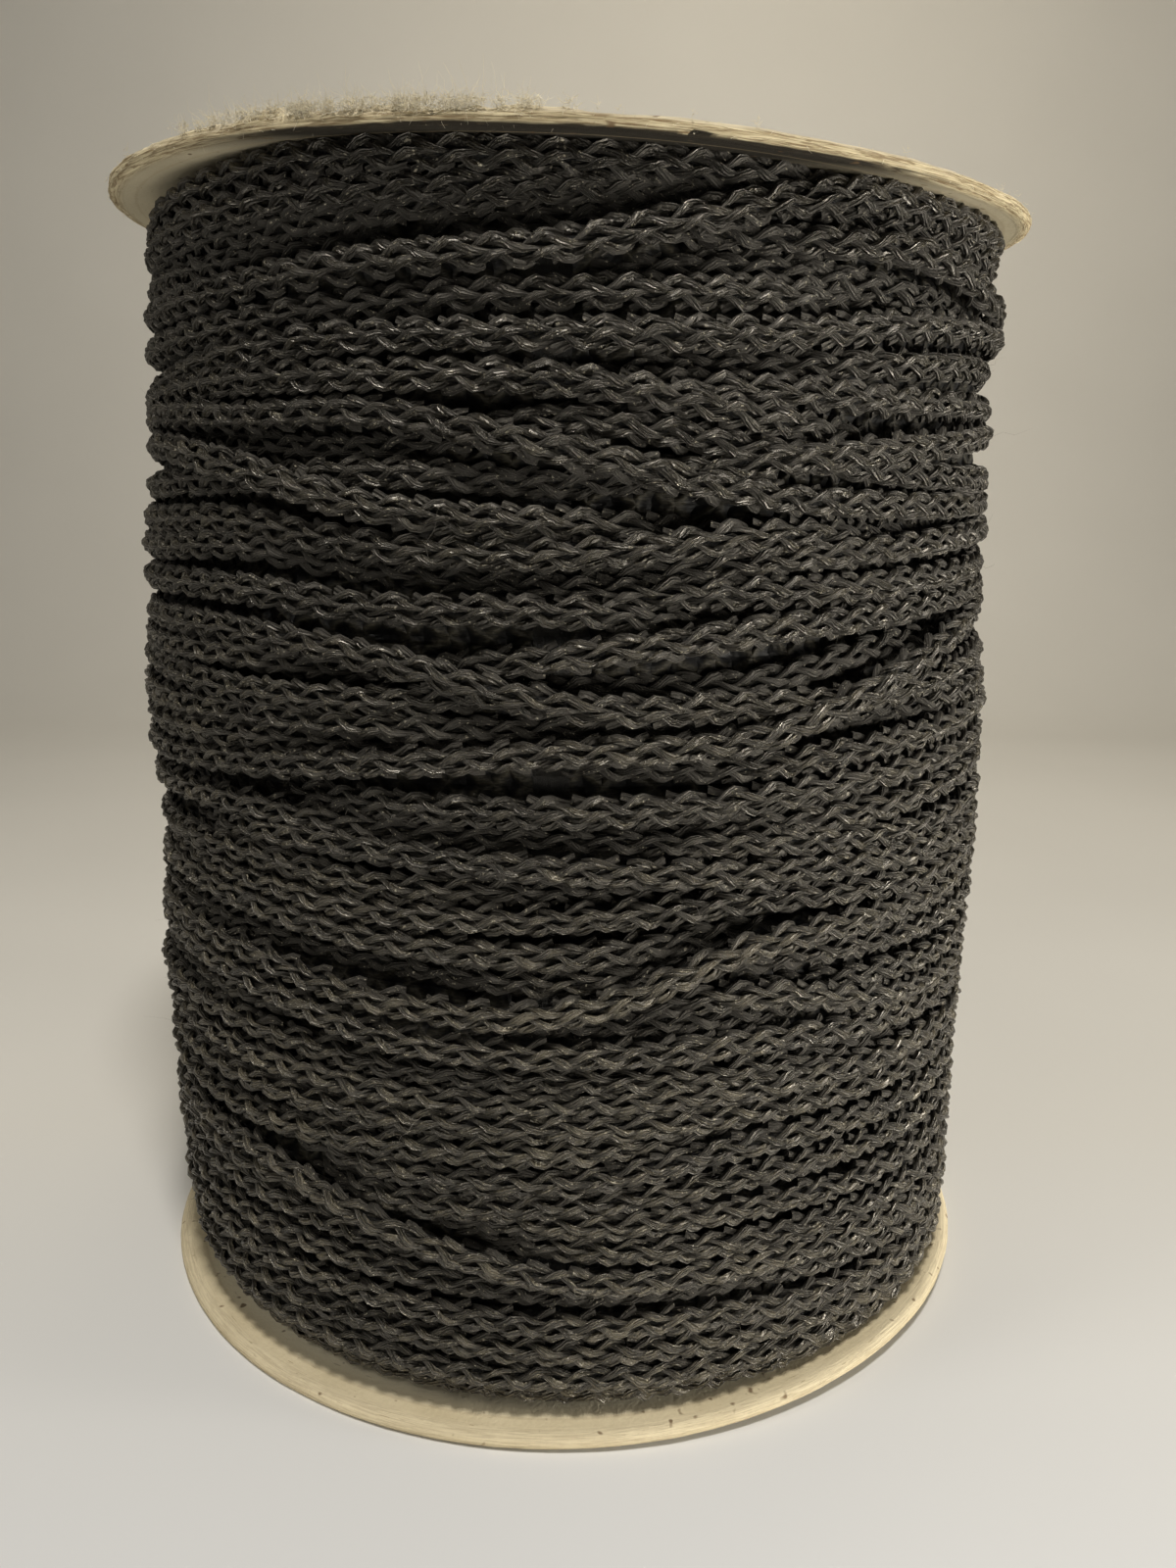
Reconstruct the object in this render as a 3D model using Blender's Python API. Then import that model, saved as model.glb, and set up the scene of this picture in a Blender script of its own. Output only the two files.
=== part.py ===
"""Macrame cord wound on a spool between two round board flanges, in metres, +Z up.

The origin is on the spool's axis, at the flat underside of the lower flange. The front is -Y.
"""
import math

import bmesh
import bpy

MM = 0.001

# Flanges: thin pressed board, warped by handling
FLANGE_RADIUS = 76.2 * MM
TOP_BOARD = 1.9 * MM
BOTTOM_BOARD = 1.8 * MM
TOP_UNDERSIDE = 181.9 * MM
TOP_BEND_POWER = 1.5
BOTTOM_FLAT_SHARE = 0.6
RIM_EASE = 0.35 * MM

# Rise of each board's rim above its flat middle, every 45 degrees from the front towards the right
TOP_RIM_RISE = {
    "front": -5.8, "front_right": -6.4, "right": -1.9, "back_right": 1.2,
    "back": 2.2, "back_left": 2.4, "left": 0.3, "front_left": -2.9,
}
BOTTOM_RIM_RISE = {
    "front": 0.5, "front_right": 2.0, "right": 1.5, "back_right": 0.0,
    "back": 0.0, "back_left": 0.8, "left": 0.0, "front_left": 0.0,
}

# Winding: 38 turns lie side by side from flange to flange
TURNS = 38
VALLEY_DEPTH = 1.7 * MM
SEAT_GAP = 0.3 * MM
END_INSET = 1.2 * MM

# Outer radius of the winding by height, at its left and right sides
PROFILE_COLUMNS = ("height", "left", "right")
PROFILE = (
    (0.0, 71.6, 73.6),
    (8.0, 72.6, 74.2),
    (20.0, 74.2, 74.5),
    (40.0, 74.7, 74.2),
    (62.0, 75.6, 74.6),
    (83.0, 74.2, 75.1),
    (104.0, 75.6, 74.6),
    (129.0, 74.2, 72.8),
    (150.0, 72.4, 72.6),
    (166.0, 71.6, 72.4),
    (182.0, 71.8, 71.6),
)

# The lowest turns draw in on the lower flange, most at the front, every 45 degrees
LOW_DRAW_IN = {
    "front": 9.0, "front_right": 5.0, "right": 1.5, "back_right": 1.0,
    "back": 1.0, "back_left": 2.0, "left": 4.0, "front_left": 8.5,
}
DRAW_IN_HEIGHT = 9.0 * MM

# Main crossing turns: each climbs or falls over its neighbours between two azimuths
CROSSING_COLUMNS = ("from_azimuth", "from_height", "to_azimuth", "to_height", "proud")
CROSSINGS = (
    (-25, 163.5, 48, 176.0, 1.2),
    (0, 154.8, 58, 161.5, 0.8),
    (-16, 146.0, 22, 136.0, 1.4),
    (10, 138.4, 60, 146.5, 0.8),
    (-56, 143.3, -14, 133.0, 1.2),
    (-38, 117.2, 4, 108.8, 0.9),
    (14, 103.6, 54, 117.8, 1.8),
    (-14, 65.4, 24, 76.0, 1.2),
    (-48, 66.2, -12, 60.4, 0.8),
    (-36, 36.0, 6, 25.0, 1.0),
    (100, 150.0, 150, 141.0, 1.2),
    (120, 92.0, 175, 104.0, 1.3),
    (110, 40.0, 150, 31.0, 1.0),
    (195, 128.0, 240, 119.0, 1.2),
    (205, 70.0, 250, 80.0, 1.2),
    (200, 170.0, 245, 163.0, 0.9),
    (215, 28.0, 262, 36.0, 1.0),
)
CROSSING_HALF_WIDTH = 3.4 * MM
CROSSING_FADE = 9.0
# A crossing turn fills a valley whole, and lifts a crest only by what stands proud
CREST_SHARE = 0.42

# Meshing
SIDES = 48
BOARD_RINGS = (0.3, 0.6, 0.75, 0.88, 1.0)
CAP_RINGS = (0.3, 0.6, 0.75)


def row(columns, values):
    """A table's row with its values under their column names."""
    return dict(zip(columns, values, strict=True))


def smooth(t):
    t = min(max(t, 0.0), 1.0)
    return t * t * (3.0 - 2.0 * t)


def around(table, azimuth):
    """A value in millimetres given every 45 degrees, joined by a closed smooth curve, in metres."""
    values = list(table.values())
    step = azimuth % 360.0 / 45.0
    index = int(step)
    t = step - index
    before, start, end, after = (values[(index + k) % 8] for k in (-1, 0, 1, 2))
    slope_in = 0.5 * (end - before)
    slope_out = 0.5 * (after - start)
    curve = (
        start * (2 * t**3 - 3 * t**2 + 1) + slope_in * (t**3 - 2 * t**2 + t)
        + end * (3 * t**2 - 2 * t**3) + slope_out * (t**3 - t**2)
    )
    return curve * MM


def azimuth_of(side):
    return 360.0 * side / SIDES


def point(azimuth, radius, height):
    """Azimuth 0 is the front, -Y, and 90 is the right, +X."""
    angle = math.radians(azimuth)
    return (radius * math.sin(angle), -radius * math.cos(angle), height)


def top_underside(azimuth, radius):
    share = radius / FLANGE_RADIUS
    return TOP_UNDERSIDE + around(TOP_RIM_RISE, azimuth) * share**TOP_BEND_POWER


def bottom_underside(azimuth, radius):
    share = (radius / FLANGE_RADIUS - BOTTOM_FLAT_SHARE) / (1.0 - BOTTOM_FLAT_SHARE)
    return around(BOTTOM_RIM_RISE, azimuth) * smooth(share)


def bottom_upper_face(azimuth, radius):
    return bottom_underside(azimuth, radius) + BOTTOM_BOARD


def profile_radius(height, azimuth):
    """The crests' radius, blended between the left and right profiles round the winding."""
    rows = [row(PROFILE_COLUMNS, values) for values in PROFILE]
    height_mm = min(max(height / MM, rows[0]["height"]), rows[-1]["height"])
    for low, high in zip(rows, rows[1:]):
        if height_mm <= high["height"]:
            break
    t = smooth((height_mm - low["height"]) / (high["height"] - low["height"]))
    left = low["left"] + (high["left"] - low["left"]) * t
    right = low["right"] + (high["right"] - low["right"]) * t
    across = math.sin(math.radians(azimuth))
    radius = (0.5 * (left + right) + 0.5 * (right - left) * across) * MM
    draw = 1.0 - height / DRAW_IN_HEIGHT
    if draw > 0.0:
        radius -= around(LOW_DRAW_IN, azimuth) * draw**1.5
    return radius


def crossing_rise(azimuth, height):
    """How far the crossing turns stand proud of the others here."""
    rise = 0.0
    for values in CROSSINGS:
        turn = row(CROSSING_COLUMNS, values)
        middle = 0.5 * (turn["from_azimuth"] + turn["to_azimuth"])
        half_span = 0.5 * (turn["to_azimuth"] - turn["from_azimuth"])
        off_middle = (azimuth - middle + 180.0) % 360.0 - 180.0
        along = smooth(0.5 + 0.5 * off_middle / half_span)
        fade = smooth((half_span + CROSSING_FADE - abs(off_middle)) / CROSSING_FADE)
        centre = (turn["from_height"] + (turn["to_height"] - turn["from_height"]) * along) * MM
        off_centre = abs(height - centre) / CROSSING_HALF_WIDTH
        if off_centre < 1.0:
            ridge = math.cos(0.5 * math.pi * off_centre) ** 2
            rise = max(rise, (turn["proud"] * MM + VALLEY_DEPTH) * fade * ridge)
    return rise


def add_ring(mesh, radius_at, height_at):
    ring = []
    for side in range(SIDES):
        azimuth = azimuth_of(side)
        radius = radius_at(azimuth)
        ring.append(mesh.verts.new(point(azimuth, radius, height_at(azimuth, radius))))
    return ring


def bridge(mesh, lower, upper):
    """Quads from one ring to the next, facing out where the second ring is higher."""
    for side in range(SIDES):
        after = (side + 1) % SIDES
        mesh.faces.new((lower[side], lower[after], upper[after], upper[side]))


def close_fan(mesh, ring, centre, faces_up):
    hub = mesh.verts.new(centre)
    for side in range(SIDES):
        after = (side + 1) % SIDES
        ends = (ring[side], ring[after]) if faces_up else (ring[after], ring[side])
        mesh.faces.new((*ends, hub))


def flat_centre(mesh, ring):
    """One flat face, so that the spool has a true resting face."""
    mesh.faces.new(tuple(reversed(ring)))


def make_object(name, mesh, material):
    data = bpy.data.meshes.new(name)
    mesh.to_mesh(data)
    mesh.free()
    data.shade_smooth()
    data.set_sharp_from_angle(angle=math.radians(35.0))
    data.materials.append(material)
    piece = bpy.data.objects.new(name, data)
    bpy.context.scene.collection.objects.link(piece)
    return piece


def make_material(name, colour, roughness):
    material = bpy.data.materials.new(name)
    material.use_nodes = True
    shader = material.node_tree.nodes["Principled BSDF"]
    shader.inputs["Base Color"].default_value = (*colour, 1.0)
    shader.inputs["Roughness"].default_value = roughness
    shader.inputs["Metallic"].default_value = 0.0
    return material


def board(name, underside, thickness, flat_rest, material):
    """A warped round board: its underside out to the eased rim, then its upper face back in."""

    def upper_face(azimuth, radius):
        return underside(azimuth, radius) + thickness

    mesh = bmesh.new()
    radii = [share * FLANGE_RADIUS for share in BOARD_RINGS[:-1]]
    rim = FLANGE_RADIUS
    under = [add_ring(mesh, lambda _, r=radius: r, underside) for radius in radii]
    under.append(add_ring(mesh, lambda _: rim - RIM_EASE, underside))
    edge_low = add_ring(mesh, lambda _: rim, lambda a, r: underside(a, r) + RIM_EASE)
    edge_high = add_ring(mesh, lambda _: rim, lambda a, r: upper_face(a, r) - RIM_EASE)
    over = [add_ring(mesh, lambda _: rim - RIM_EASE, upper_face)]
    over += [add_ring(mesh, lambda _, r=radius: r, upper_face) for radius in reversed(radii)]
    rings = [*under, edge_low, edge_high, *over]
    for lower, upper in zip(rings, rings[1:]):
        bridge(mesh, lower, upper)
    if flat_rest:
        flat_centre(mesh, rings[0])
    else:
        close_fan(mesh, rings[0], (0.0, 0.0, underside(0.0, 0.0)), False)
    close_fan(mesh, rings[-1], (0.0, 0.0, upper_face(0.0, 0.0)), True)
    return make_object(name, mesh, material)


def winding(material):
    """The wound cord: a ridge for each turn, the crossing turns raised, between the two boards."""

    def floor(azimuth, radius):
        return bottom_upper_face(azimuth, radius) + SEAT_GAP

    def ceiling(azimuth, radius):
        return top_underside(azimuth, radius) - SEAT_GAP

    def side_ring(mesh, step):
        share = step / (2 * TURNS)
        is_valley = step % 2 == 0
        at_end = step in (0, 2 * TURNS)

        def nominal_height(azimuth):
            low = floor(azimuth, FLANGE_RADIUS)
            high = ceiling(azimuth, FLANGE_RADIUS)
            return low + (high - low) * share

        def radius_at(azimuth):
            height = nominal_height(azimuth)
            radius = profile_radius(height, azimuth) - (VALLEY_DEPTH if is_valley else 0.0)
            if at_end:
                return radius - END_INSET
            return radius + crossing_rise(azimuth, height) * (1.0 if is_valley else CREST_SHARE)

        def height_at(azimuth, radius):
            low = floor(azimuth, radius)
            high = ceiling(azimuth, radius)
            return low + (high - low) * share

        return add_ring(mesh, radius_at, height_at)

    mesh = bmesh.new()
    cap_radii = [share * FLANGE_RADIUS for share in CAP_RINGS]
    rings = [add_ring(mesh, lambda _, r=radius: r, floor) for radius in cap_radii]
    rings += [side_ring(mesh, step) for step in range(2 * TURNS + 1)]
    rings += [add_ring(mesh, lambda _, r=radius: r, ceiling) for radius in reversed(cap_radii)]
    for lower, upper in zip(rings, rings[1:]):
        bridge(mesh, lower, upper)
    close_fan(mesh, rings[0], (0.0, 0.0, floor(0.0, 0.0)), False)
    close_fan(mesh, rings[-1], (0.0, 0.0, ceiling(0.0, 0.0)), True)
    return make_object("winding", mesh, material)


def main():
    for item in list(bpy.data.objects):
        bpy.data.objects.remove(item, do_unlink=True)
    pressed_board = make_material("pressed_board", (0.60, 0.52, 0.38), 0.85)
    dark_cord = make_material("dark_cord", (0.035, 0.034, 0.032), 0.8)
    board("flange_bottom", bottom_underside, BOTTOM_BOARD, True, pressed_board)
    winding(dark_cord)
    board("flange_top", top_underside, TOP_BOARD, False, pressed_board)


main()
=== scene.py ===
"""Looks of the macrame cord on its flanged spool: braided cord, pressed board, light and camera.

Sizes are in millimetres in the tables and in metres in the meshes. Azimuth 0 is the front, -Y, and
90 is the right, +X. The cord lies in turns whose heights were read from the photograph.
"""
import math

import bpy
import numpy as np
from mathutils import Matrix, Vector


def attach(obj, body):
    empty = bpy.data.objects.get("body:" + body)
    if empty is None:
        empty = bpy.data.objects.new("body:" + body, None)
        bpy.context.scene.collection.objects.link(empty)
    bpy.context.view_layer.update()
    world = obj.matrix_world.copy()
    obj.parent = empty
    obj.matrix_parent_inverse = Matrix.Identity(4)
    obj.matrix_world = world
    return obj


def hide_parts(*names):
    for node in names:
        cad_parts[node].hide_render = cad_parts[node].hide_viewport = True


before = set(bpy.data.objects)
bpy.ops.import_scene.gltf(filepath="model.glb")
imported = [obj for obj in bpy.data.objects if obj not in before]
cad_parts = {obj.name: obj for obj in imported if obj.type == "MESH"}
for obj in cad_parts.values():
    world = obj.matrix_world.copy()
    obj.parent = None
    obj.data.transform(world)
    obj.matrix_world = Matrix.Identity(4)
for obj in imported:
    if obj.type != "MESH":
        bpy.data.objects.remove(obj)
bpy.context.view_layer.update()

MM = 0.001
RANDOM = np.random.default_rng(20)

# Camera, fitted to both flange outlines in the 1200 x 1600 photograph
CAMERA_DISTANCE = 222.5
CAMERA_HEIGHT = 131.1
CAMERA_PITCH = -0.2115
CAMERA_YAW = 0.0163
CAMERA_ROLL = 0.0103
CAMERA_LENS = 27.0
CAMERA_SENSOR = 36.0

# Boards
FLANGE_RADIUS = 76.2
TOP_BOARD = 1.9
BOTTOM_BOARD = 1.8
TOP_UNDERSIDE = 181.9
TOP_BEND_POWER = 1.5
BOTTOM_FLAT_SHARE = 0.6
RIM_ROOM = 0.15
TOP_RIM_ROUGHNESS = 0.28
BOTTOM_RIM_ROUGHNESS = 0.10

# Waves round a rim, as ripples a turn: ragged edge, chips, layers, torn lumps and their fine ripple
RAGGED_RIPPLES = 260
CHIP_RIPPLES = 40
LAYER_RIPPLES = 150
LUMP_RIPPLES = 90
TORN_RIPPLES = 300

# Rise of each rim above the board's flat middle, every 45 degrees from the front towards the right
TOP_RIM_RISE = (-5.8, -6.4, -1.9, 1.2, 2.2, 2.4, 0.3, -2.9)
BOTTOM_RIM_RISE = (0.5, 2.0, 1.5, 0.0, 0.0, 0.8, 0.0, 0.0)

# Rim profiles, from the underside up: inset from the edge, share of the thickness
TOP_RIM = (
    (2.4, 0.0),
    (1.0, 0.02),
    (0.5, 0.10),
    (0.2, 0.22),
    (0.05, 0.36),
    (0.0, 0.50),
    (0.05, 0.62),
    (0.12, 0.74),
    (0.3, 0.86),
    (0.6, 0.97),
    (1.3, 1.02),
    (2.6, 1.0),
)
BOTTOM_RIM = (
    (1.2, 0.0),
    (0.4, 0.05),
    (0.1, 0.22),
    (0.0, 0.38),
    (0.1, 0.52),
    (0.3, 0.66),
    (0.6, 0.80),
    (1.0, 0.91),
    (1.6, 0.98),
    (3.0, 1.0),
)

# Outer radius of the winding: height, left side, right side
PROFILE = np.array((
    (0.0, 71.6, 73.6),
    (8.0, 72.6, 74.2),
    (20.0, 74.2, 74.5),
    (40.0, 74.7, 74.2),
    (62.0, 75.6, 74.6),
    (83.0, 74.2, 75.1),
    (104.0, 75.6, 74.6),
    (129.0, 74.2, 72.8),
    (150.0, 72.4, 72.8),
    (156.5, 72.1, 72.0),
    (161.0, 71.9, 72.9),
    (168.0, 71.6, 72.8),
    (171.0, 71.6, 71.2),
    (174.5, 71.6, 72.2),
    (182.0, 71.8, 71.6),
))
LOW_DRAW_IN = (9.0, 5.0, 1.5, 1.0, 1.0, 2.0, 4.0, 8.5)
DRAW_IN_HEIGHT = 9.0

# Cord: a round braid of 10 yarns, 5 turning each way, each over one and under one. A yarn turns
# fastest where it comes up over the other, and runs almost straight where it goes down again. Its
# section has a place across it, as a share of half its width, and a height, as a share of its crown.
CORD_DEPTH = 4.5
CORD_WIDTH = 4.45
COLUMNS = 5
BRAID_TURN = 30.5
YARN_PERIODS_A_TURN = 76
YARN_WIDTH = 1.30
YARN_CROWN = 0.54
YARN_SECTION = np.array(((-1.0, -1.0), (-0.58, 0.10), (0.0, 0.45), (0.58, 0.10), (1.0, -1.0)))
YARN_WEAVE = 0.46
YARN_BEND = 0.74
BRAID_SPAN = 92.0
YARN_SAMPLES = 14
CORE_DEPTH = 1.25
MEAN_RADIUS = 73.5
UNDER_TURNS = 37
UNDER_HEIGHT = 181.0
CORD_PIECES = 6

# Turns, from the top: heights at these azimuths, then how far each stands proud there
TURN_AZIMUTHS = (-60, -40, -20, 0, 20, 40, 60)
TURNS = (
    ("under_board", (176.4, 176.8, 176.8, 176.2, 176.0, 175.6, 175.4),
     (-0.5, 0.0, 1.4, -0.6, -1.4, -4.0, -6.0)),
    ("top_left", (172.5, 172.7, 172.6, 172.9, 173.2, 174.0, 174.0),
     (0.0, 0.2, 0.2, -1.4, -3.0, -6.0, -6.0)),
    ("climb_to_top", (162.8, 163.0, 164.3, 165.6, 171.3, 175.6, 176.2),
     (0.0, 0.0, 0.3, 0.8, 1.2, 0.5, 0.0)),
    ("thin_at_top", (169.5, 169.8, 170.3, 172.2, 172.8, 172.2, 173.2),
     (-1.5, -1.5, -1.5, -1.0, -3.5, -1.2, -0.4)),
    ("sunk_at_top", (167.0, 166.4, 168.0, 168.7, 167.4, 168.2, 166.2),
     (-0.5, -1.5, -4.0, -3.0, -1.6, 0.4, 0.3)),
    ("from_beneath", (161.0, 161.0, 161.5, 162.8, 164.0, 163.3, 163.5),
     (-6.0, -6.0, -5.0, -4.5, -2.0, -1.5, -4.0)),
    ("thin_above_climb", (158.3, 158.5, 159.2, 159.9, 160.8, 162.5, 164.0),
     (0.0, -0.3, -1.5, -0.8, -0.8, -3.5, -5.0)),
    ("upper_climb", (152.3, 154.6, 154.9, 154.7, 155.9, 159.3, 161.3),
     (-0.3, -0.3, 0.0, 0.6, 0.6, 0.6, 0.6)),
    ("below_climb", (152.0, 152.0, 152.0, 152.0, 152.6, 154.0, 156.2),
     (-6.0, -6.0, -6.0, -5.0, -2.5, -0.2, -0.6)),
    ("right_150", (150.0, 150.0, 150.0, 149.5, 149.2, 149.2, 150.5),
     (-6.0, -6.0, -5.0, -3.0, -0.3, -0.2, -0.5)),
    ("fall_from_150", (151.3, 150.9, 150.3, 149.3, 145.8, 143.0, 141.0),
     (0.0, 0.0, 0.2, 0.5, 0.0, -4.0, -6.0)),
    ("long_fall", (148.0, 146.3, 145.6, 140.8, 136.1, 135.2, 135.8),
     (0.0, -0.1, 0.2, 1.5, 0.5, 0.3, 0.0)),
    ("between_falls", (144.0, 142.8, 141.6, 144.8, 141.8, 139.8, 139.8),
     (-3.0, -2.8, -3.0, -1.0, -0.5, -0.8, -0.3)),
    ("right_climb", (137.6, 137.4, 138.0, 137.0, 140.0, 143.1, 146.2),
     (-0.2, -1.6, -0.7, -3.0, 0.3, 0.8, 0.3)),
    ("left_fall", (143.3, 139.4, 133.8, 132.1, 131.0, 131.0, 131.0),
     (0.3, 1.2, 0.8, 0.0, -4.5, -6.0, -6.0)),
    ("bend_at_130", (132.4, 132.3, 128.8, 127.9, 130.6, 131.2, 132.0),
     (0.0, -0.3, -0.3, 0.5, 0.6, -3.5, -5.0)),
    ("sunk_at_126", (128.2, 128.6, 125.6, 124.6, 127.6, 129.3, 131.2),
     (-0.2, -1.0, -3.4, -3.4, -0.5, 0.2, 0.2)),
    ("left_121", (123.5, 122.9, 120.9, 120.8, 119.0, 119.0, 119.0),
     (0.0, 0.0, 0.0, -0.3, -4.0, -6.0, -6.0)),
    ("right_123", (124.0, 124.0, 124.2, 123.2, 123.2, 124.3, 126.0),
     (-6.0, -6.0, -5.0, -2.0, -0.6, -0.2, -0.2)),
    ("middle_fall", (117.8, 117.2, 114.6, 108.9, 108.4, 108.7, 111.3),
     (0.0, 0.2, 0.8, 0.5, 0.0, -0.5, -0.5)),
    ("middle_climb", (113.4, 113.5, 112.5, 115.2, 118.4, 120.2, 122.2),
     (-0.2, -0.3, -3.5, 0.2, 0.4, -0.8, -0.6)),
    ("thin_climb", (109.8, 108.8, 109.0, 110.5, 111.6, 115.6, 115.0),
     (-0.2, 0.0, -0.3, -3.6, -1.5, -1.8, -2.4)),
    ("left_105", (105.3, 105.6, 105.0, 104.9, 105.5, 106.2, 107.0),
     (0.0, -0.5, -0.8, -3.4, -3.8, -2.5, -0.5)),
    ("right_101", (101.2, 102.2, 102.6, 101.0, 100.3, 101.7, 103.0),
     (-0.3, -0.5, -3.0, -4.0, -0.8, -0.2, 0.0)),
    ("great_climb", (96.4, 98.0, 100.6, 102.7, 104.3, 112.6, 118.6),
     (0.0, 0.0, 0.5, 0.3, 0.8, 1.6, 0.2)),
    ("bright_95", (94.0, 94.2, 94.6, 94.7, 95.7, 97.0, 98.4),
     (-5.0, -4.5, -0.8, 0.4, 0.3, -0.3, -0.2)),
    ("right_92", (92.0, 92.0, 92.0, 92.0, 92.2, 92.4, 93.8),
     (-6.0, -6.0, -6.0, -5.0, -1.5, 0.0, 0.0)),
    ("left_91", (91.0, 91.5, 91.0, 90.2, 89.7, 88.3, 88.0),
     (0.0, -0.3, -2.0, -3.2, -0.3, -0.2, 0.0)),
    ("bright_87", (87.8, 88.3, 88.0, 86.8, 85.0, 84.1, 83.7),
     (-4.0, -0.5, 0.0, 0.5, 0.2, 0.0, 0.0)),
    ("left_84", (83.8, 84.6, 83.2, 83.4, 83.0, 82.5, 82.0),
     (0.0, 0.0, -0.2, -2.2, -4.0, -6.0, -6.0)),
    ("across_80", (81.2, 80.6, 79.3, 80.0, 81.2, 79.9, 79.1),
     (-1.0, -0.3, -0.2, -0.3, -0.8, -0.2, 0.0)),
    ("left_76", (77.8, 76.8, 75.3, 74.5, 76.3, 76.0, 75.0),
     (0.0, -0.3, -0.2, -0.2, -3.5, -6.0, -6.0)),
    ("thin_72", (73.5, 72.6, 71.0, 70.9, 74.0, 74.0, 74.0),
     (-0.8, -1.8, -3.5, -0.8, -5.0, -6.0, -6.0)),
    ("low_climb", (69.7, 69.2, 66.4, 67.0, 75.0, 75.9, 75.6),
     (0.0, 0.0, 0.3, 1.0, 1.2, 0.2, 0.0)),
    ("right_71", (70.0, 70.0, 69.5, 69.5, 71.8, 71.4, 70.7),
     (-6.0, -6.0, -6.0, -5.0, -2.0, -0.3, 0.0)),
    ("low_fall", (66.3, 65.5, 61.4, 60.3, 60.2, 58.2, 56.6),
     (0.0, 0.6, 0.8, 0.3, 0.2, -0.2, -0.2)),
    ("right_fall", (64.0, 64.0, 64.0, 65.0, 67.3, 62.5, 60.3),
     (-6.0, -6.0, -6.0, -3.5, -0.3, 0.4, 0.0)),
    ("right_65", (66.0, 66.0, 66.0, 66.0, 66.5, 65.9, 64.8),
     (-6.0, -6.0, -6.0, -6.0, -4.5, -0.8, -0.2)),
    ("sunk_62", (62.2, 61.8, 62.0, 63.4, 63.8, 61.5, 60.0),
     (-1.5, -1.5, -5.0, -3.0, -2.0, -6.0, -6.0)),
    ("across_57", (57.6, 57.6, 56.5, 56.2, 55.8, 54.6, 53.5),
     (0.0, -0.3, -0.8, -1.2, -0.5, -1.8, -2.5)),
    ("across_52", (52.8, 52.8, 52.8, 52.3, 52.7, 52.0, 50.5),
     (-0.3, 0.0, 0.0, -0.8, 0.0, 0.0, 0.0)),
    ("across_48", (47.7, 48.0, 48.6, 48.9, 49.1, 48.2, 46.5),
     (0.0, 0.0, 0.0, -0.2, -0.3, 0.0, 0.0)),
    ("left_43", (42.2, 42.6, 44.4, 45.2, 46.3, 46.0, 45.0),
     (0.0, 0.0, 0.0, 0.0, -3.0, -6.0, -6.0)),
    ("right_44", (39.5, 40.4, 40.0, 40.7, 43.9, 42.9, 41.1),
     (-2.5, -3.0, -0.5, 0.0, 0.3, 0.0, 0.0)),
    ("bottom_fall", (36.2, 36.2, 31.0, 25.3, 24.2, 22.8, 19.3),
     (0.0, 0.3, 1.0, 0.8, 0.2, 0.2, 0.0)),
    ("right_37", (36.0, 36.0, 35.5, 36.9, 38.5, 37.6, 35.7),
     (-6.0, -6.0, -0.5, -0.3, -0.2, 0.0, 0.0)),
    ("right_33", (34.0, 34.0, 33.2, 33.3, 33.5, 32.2, 30.4),
     (-6.0, -6.0, -3.0, -0.5, -0.2, 0.0, 0.0)),
    ("right_28", (31.0, 31.0, 30.5, 29.7, 28.3, 26.9, 24.9),
     (-6.0, -6.0, -6.0, -0.8, -0.2, 0.0, 0.0)),
    ("left_32", (32.6, 32.4, 30.0, 28.0, 27.0, 26.0, 25.0),
     (-0.3, -0.6, -6.0, -6.0, -6.0, -6.0, -6.0)),
    ("left_29", (28.8, 29.0, 27.6, 25.0, 24.0, 23.0, 22.0),
     (0.0, -0.2, -1.0, -5.0, -6.0, -6.0, -6.0)),
    ("across_21", (22.8, 23.5, 23.5, 21.4, 21.2, 18.8, 16.5),
     (-0.5, -0.3, -0.5, -2.0, -1.5, -0.5, -0.2)),
    ("across_17", (17.5, 18.5, 18.6, 17.4, 16.9, 13.8, 11.5),
     (0.0, 0.0, 0.0, 0.2, 0.3, 0.0, 0.0)),
    ("across_12", (12.5, 13.0, 13.1, 12.2, 11.9, 9.3, 7.2),
     (0.0, 0.0, 0.0, -0.3, -0.5, -0.3, 0.0)),
    ("across_8", (7.9, 8.2, 8.2, 7.9, 7.6, 6.6, 5.0),
     (0.0, 0.0, 0.0, 0.0, 0.0, -0.5, -1.5)),
    ("lowest", (4.3, 4.3, 4.3, 4.3, 4.3, 4.5, 4.6),
     (0.0, 0.0, 0.0, 0.0, 0.0, 0.0, 0.0)),
)
# Heights were read on a cylinder this far inside the crests, from the camera's height
READING_DEPTH = 1.8

# Azimuths where a turn begins, where its readings end, and where the next turn takes over
TURN_START = -60.0
FRONT_END = 60.0
TURN_END = 300.0

# Round the back the showing turns lie evenly, and these ones (their rank from the bottom at the
# right, and how many turns they climb) pass over their neighbours
BACK_AZIMUTHS = (125.0, 235.0)
BACK_CROSSINGS = ((4, 2), (9, -2), (15, 3), (21, -2), (27, 2), (33, 3), (39, -3), (45, 2), (50, -2))
BACK_LOWEST = 4.6
BACK_HIGHEST = 176.5
BACK_PROUD = 1.3
BACK_SUNK_DEPTH = -5.5
SUNK = -3.0
TOO_DEEP_TO_SHOW = -4.2

# Unevenness of the turns: a slow wave in height and in depth, and in the braid's twist in degrees
HEIGHT_WAVE = 0.25
DEPTH_WAVE = 0.22
TWIST_WAVE = 8.0
TWIST_RANGE = 36.0

# How far a turn that lies against a board is pressed flat
BOARD_SQUEEZE = 0.1

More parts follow.
